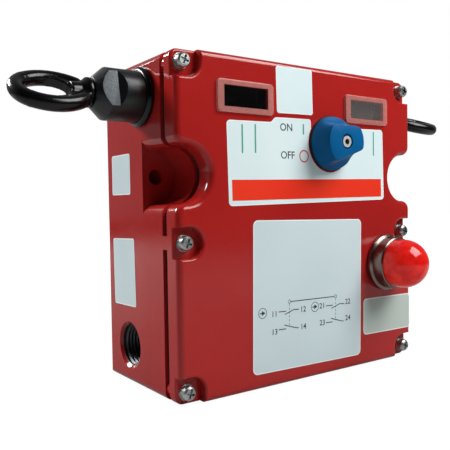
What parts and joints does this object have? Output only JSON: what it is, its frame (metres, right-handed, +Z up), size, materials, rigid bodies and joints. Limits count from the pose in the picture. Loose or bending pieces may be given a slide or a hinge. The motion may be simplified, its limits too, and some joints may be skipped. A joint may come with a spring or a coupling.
{
  "type": "rope pull switch",
  "caption": "Rope pull switch in a cast box with two sprung pull eyes, indicator windows, a reset knob and a pilot light.",
  "frame": {"origin": "midway between the two mounting holes, on the mounting face", "axes": "+X to the right along the pull shafts, +Y into the wall, +Z up; the cover faces -Y"},
  "size_m": [0.268, 0.0952, 0.1518],
  "materials": {
    "red_paint": "glossy epoxy paint on die-cast zinc",
    "black_rubber": "matt rubber",
    "zinc_steel": "zinc plated",
    "bright_steel": "ground bar",
    "spring_steel": "drawn wire",
    "clear_lens": "clear moulded lens",
    "black_gloss": "glossy black coating on steel",
    "black_satin": "satin black coating on steel",
    "black_plastic": "satin black",
    "brass": "machined",
    "flag_black": "matt black with a white line",
    "grey_plastic": "moulded",
    "blue_plastic": "moulded, satin",
    "chrome": "bright plated",
    "red_lens": "red translucent lens",
    "lamp_glass": "lamp bulb",
    "ground_green": "green passivated"
  },
  "bodies": {
    "housing": {"base": "red_paint", "cover": "red_paint", "cover_gasket": "black_rubber", "cover_screws": "zinc_steel", "cover_washers": "zinc_steel", "cover_lock_washers": "zinc_steel", "left_window_lens": "clear_lens", "right_window_lens": "clear_lens", "left_flange_ring": "black_gloss", "right_flange_ring": "black_gloss", "left_bushing": "black_satin", "right_bushing": "black_satin", "left_lock_nut": "zinc_steel", "right_lock_nut": "zinc_steel", "left_spring": "spring_steel", "right_spring": "spring_steel", "mechanism_plate": "zinc_steel", "mechanism_screws": "zinc_steel", "left_contact_block": "grey_plastic", "right_contact_block": "grey_plastic", "left_contact_screws": "brass", "right_contact_screws": "brass", "knob_seat": "black_plastic", "stem_nut": "zinc_steel", "pilot_seal": "black_rubber", "pilot_bezel": "chrome", "pilot_lens": "red_lens", "pilot_lamp": "lamp_glass", "pilot_body": "black_plastic", "pilot_nut": "zinc_steel", "ground_screw": "ground_green"},
    "reset_knob": {"knob": "blue_plastic", "knob_screw": "bright_steel", "knob_stem": "bright_steel", "latch_cam": "brass", "stem_clip": "spring_steel"},
    "left_pull": {"left_shaft": "bright_steel", "left_cam": "brass", "left_flag": "flag_black"},
    "left_swivel": {"left_eye": "black_gloss"},
    "left_contact": {"left_plunger": "brass"},
    "right_pull": {"right_shaft": "bright_steel", "right_cam": "brass", "right_flag": "flag_black"},
    "right_swivel": {"right_eye": "black_gloss"},
    "right_contact": {"right_plunger": "brass"}
  },
  "joints": [
    {"name": "knob_turn", "type": "hinge", "parent": "housing", "child": "reset_knob", "pos_m": [0.013, -0.08, 0.0163], "axis": [0, 1, 0], "range_deg": [0, 40]},
    {"name": "left_pull_slide", "type": "slide", "parent": "housing", "child": "left_pull", "axis": [-1, 0, 0], "range_m": [0, 0.015], "stiffness_N_per_m": 6000, "springref_m": -0.002, "deforming": ["left_spring"]},
    {"name": "left_eye_swivel", "type": "hinge", "parent": "left_pull", "child": "left_swivel", "pos_m": [-0.095, -0.0392, 0.0361], "axis": [-1, 0, 0], "continuous": true},
    {"name": "left_plunger_slide", "type": "slide", "parent": "housing", "child": "left_contact", "axis": [0, 0, -1], "range_m": [0, 0.003]},
    {"name": "right_pull_slide", "type": "slide", "parent": "housing", "child": "right_pull", "axis": [1, 0, 0], "range_m": [0, 0.015], "stiffness_N_per_m": 6000, "springref_m": -0.002, "deforming": ["right_spring"]},
    {"name": "right_eye_swivel", "type": "hinge", "parent": "right_pull", "child": "right_swivel", "pos_m": [0.095, -0.0392, 0.0361], "axis": [1, 0, 0], "continuous": true},
    {"name": "right_plunger_slide", "type": "slide", "parent": "housing", "child": "right_contact", "axis": [0, 0, -1], "range_m": [0, 0.003]}
  ],
  "couplings": [
    {"joint": "left_plunger_slide", "follows": "left_pull_slide", "ratio": 0.2},
    {"joint": "right_plunger_slide", "follows": "right_pull_slide", "ratio": 0.2}
  ]
}
